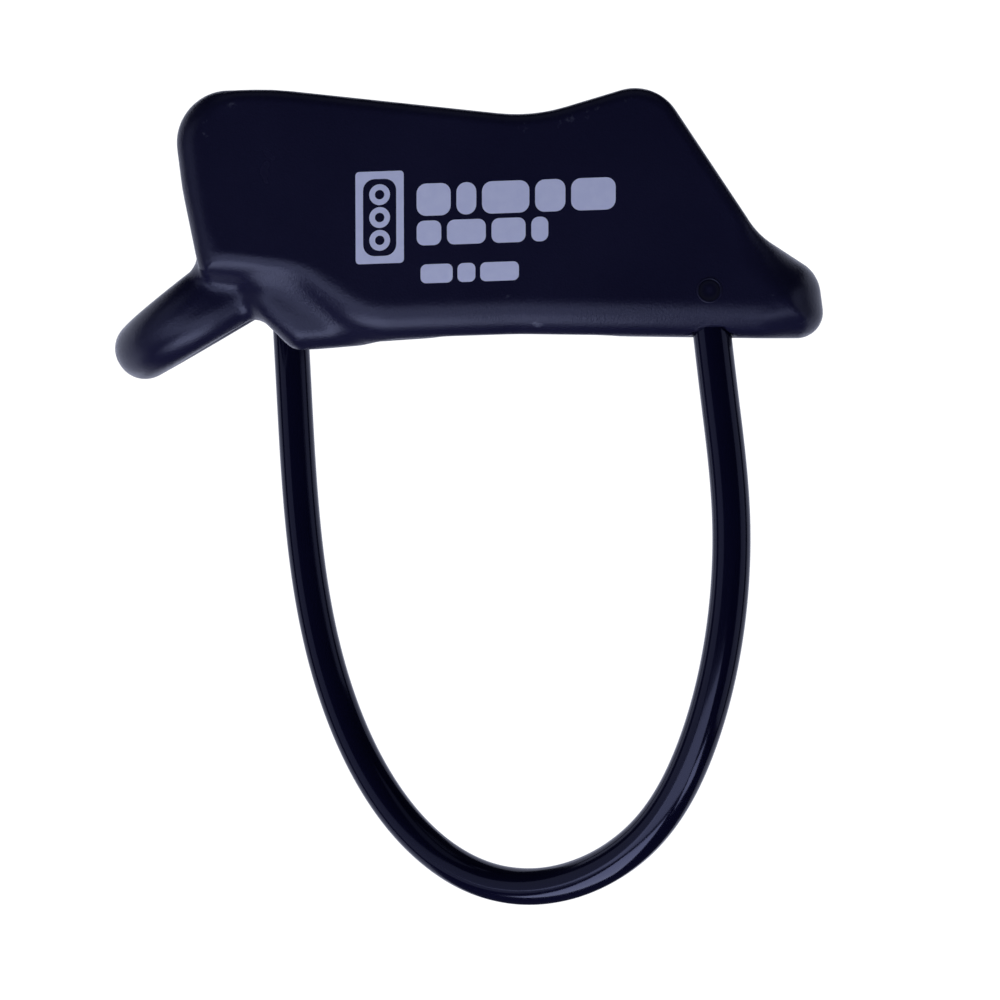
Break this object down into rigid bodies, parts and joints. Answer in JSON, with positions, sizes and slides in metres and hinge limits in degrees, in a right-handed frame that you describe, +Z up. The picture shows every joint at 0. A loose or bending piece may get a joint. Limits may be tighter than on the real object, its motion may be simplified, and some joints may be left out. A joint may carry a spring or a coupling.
{
  "type": "belay device",
  "caption": "Forged belay device with rope slots, V-shaped brake grooves and an angled guide eye, over a sprung loop of coated keeper cable.",
  "frame": {"origin": "centre of the guide eye's hole", "axes": "+Z up with the keeper loop hanging below the body, +X along the body towards the brake grooves, Y across the two rope slots"},
  "size_m": [0.0776, 0.036, 0.0905],
  "materials": {
    "anodised_body": "satin black anodised, faintly navy",
    "jacket": "glossy black extruded plastic",
    "cable_steel": "drawn bright wire",
    "crimp": "pressed, dull",
    "anodised_pin": "satin black anodised"
  },
  "bodies": {
    "body": {"body": "anodised_body", "ferrule_far": "crimp", "ferrule_near": "crimp", "pin_far": "anodised_pin", "pin_near": "anodised_pin", "sheath_root_far": "jacket", "sheath_root_near": "jacket"},
    "keeper": {"keeper_sheath": "jacket", "king_strand": "cable_steel", "lay_strand_1": "cable_steel", "lay_strand_2": "cable_steel", "lay_strand_3": "cable_steel", "lay_strand_4": "cable_steel", "lay_strand_5": "cable_steel", "lay_strand_6": "cable_steel"}
  },
  "joints": [
    {"name": "keeper_flex", "type": "hinge", "parent": "body", "child": "keeper", "pos_m": [0.03042, -0.00026, -0.0089], "axis": [0.851, -0.5251, 0], "range_deg": [-35, 35], "stiffness_Nm_per_rad": 0.3, "deforming": ["sheath_root_far", "sheath_root_near", "king_strand", "lay_strand_1", "lay_strand_2", "lay_strand_3", "lay_strand_4", "lay_strand_5", "lay_strand_6"]}
  ]
}
